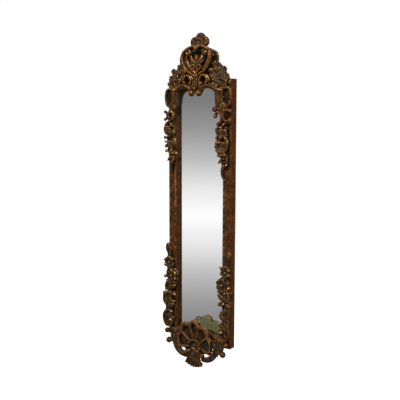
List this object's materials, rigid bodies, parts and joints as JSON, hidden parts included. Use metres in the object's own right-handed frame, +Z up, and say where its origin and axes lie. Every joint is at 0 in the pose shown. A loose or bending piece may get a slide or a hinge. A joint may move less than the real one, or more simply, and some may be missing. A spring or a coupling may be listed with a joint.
{
  "type": "pier mirror",
  "caption": "Tall narrow wall mirror in a gilded moulded frame, with a carved heart crest, scroll and flower festoons down both sides and a shell apron with a fluted pendant.",
  "frame": {"origin": "on the wall plane and the centre line, in the back face of the bottom rail, 20 mm above the underside of the frame", "axes": "+X to the viewer's right, +Y into the wall, +Z up; the glass faces -Y"},
  "size_m": [0.4008, 0.0805, 1.5112],
  "materials": {
    "gilt_moulding": "aged gilding over red bole, rubbed and spotted",
    "worn_gilt": "aged gilding, bright on the ridges",
    "gilt_ornament": "aged gilding with dark patina in the hollows",
    "dark_gilt": "dark brown patina over gilding",
    "mirror": "silvered plate glass",
    "bare_wood": "raw pine, darkened by age",
    "steel": "zinc plated, dull"
  },
  "bodies": {
    "mirror": {"left_stile": "gilt_moulding", "right_stile": "gilt_moulding", "top_rail": "gilt_moulding", "bottom_rail": "gilt_moulding", "arch_board": "dark_gilt", "mirror_glass": "mirror", "backing_board": "bare_wood", "setting_blocks": "bare_wood", "mitre_splines": "bare_wood", "crest_board": "dark_gilt", "crest_dowels": "bare_wood", "apron_core": "dark_gilt", "apron_screws": "steel", "hanger_strap_left": "steel", "hanger_strap_right": "steel", "hanger_screws": "steel", "button_screws": "steel", "crest_finial": "gilt_ornament", "cartouche_bowl": "dark_gilt", "cartouche_rim_left": "worn_gilt", "cartouche_rim_right": "worn_gilt", "cartouche_acanthus": "gilt_ornament", "cartouche_volutes": "worn_gilt", "crest_wing_left": "dark_gilt", "crest_wing_right": "dark_gilt", "crest_flowers_left": "gilt_ornament", "crest_flowers_right": "gilt_ornament", "ring_scroll_left": "worn_gilt", "ring_scroll_right": "worn_gilt", "crest_husk": "gilt_ornament", "arch_scroll_left": "worn_gilt", "arch_scroll_right": "worn_gilt", "corner_leaf_left": "gilt_ornament", "corner_leaf_right": "gilt_ornament", "upper_scroll_left": "worn_gilt", "upper_scroll_right": "worn_gilt", "upper_flower_left": "gilt_ornament", "upper_flower_right": "gilt_ornament", "upper_shell_left": "gilt_ornament", "upper_shell_right": "gilt_ornament", "lower_flowers_left": "gilt_ornament", "lower_flowers_right": "gilt_ornament", "lower_leaf_left": "gilt_ornament", "lower_leaf_right": "gilt_ornament", "lower_scroll_left": "gilt_ornament", "lower_scroll_right": "gilt_ornament", "apron_shell": "gilt_ornament", "shell_beads": "worn_gilt", "apron_arm_left": "dark_gilt", "apron_arm_right": "dark_gilt", "apron_pendant": "gilt_ornament"},
    "ring_left": {"d_ring_left": "steel"},
    "ring_right": {"d_ring_right": "steel"},
    "button_upper_left": {"turn_button_upper_left": "steel"},
    "button_upper_right": {"turn_button_upper_right": "steel"},
    "button_lower_left": {"turn_button_lower_left": "steel"},
    "button_lower_right": {"turn_button_lower_right": "steel"}
  },
  "joints": [
    {"name": "ring_left_swing", "type": "hinge", "parent": "mirror", "child": "ring_left", "pos_m": [-0.1635, -0.0042, 0.96], "axis": [-1, 0, 0], "range_deg": [0, 120]},
    {"name": "ring_right_swing", "type": "hinge", "parent": "mirror", "child": "ring_right", "pos_m": [0.1635, -0.0042, 0.96], "axis": [-1, 0, 0], "range_deg": [0, 120]},
    {"name": "button_upper_left_turn", "type": "hinge", "parent": "mirror", "child": "button_upper_left", "pos_m": [-0.161, -0.0025, 0.84], "axis": [0, -1, 0], "range_deg": [0, 90]},
    {"name": "button_upper_right_turn", "type": "hinge", "parent": "mirror", "child": "button_upper_right", "pos_m": [0.161, -0.0025, 0.84], "axis": [0, 1, 0], "range_deg": [0, 90]},
    {"name": "button_lower_left_turn", "type": "hinge", "parent": "mirror", "child": "button_lower_left", "pos_m": [-0.161, -0.0025, 0.22], "axis": [0, -1, 0], "range_deg": [0, 90]},
    {"name": "button_lower_right_turn", "type": "hinge", "parent": "mirror", "child": "button_lower_right", "pos_m": [0.161, -0.0025, 0.22], "axis": [0, 1, 0], "range_deg": [0, 90]}
  ]
}
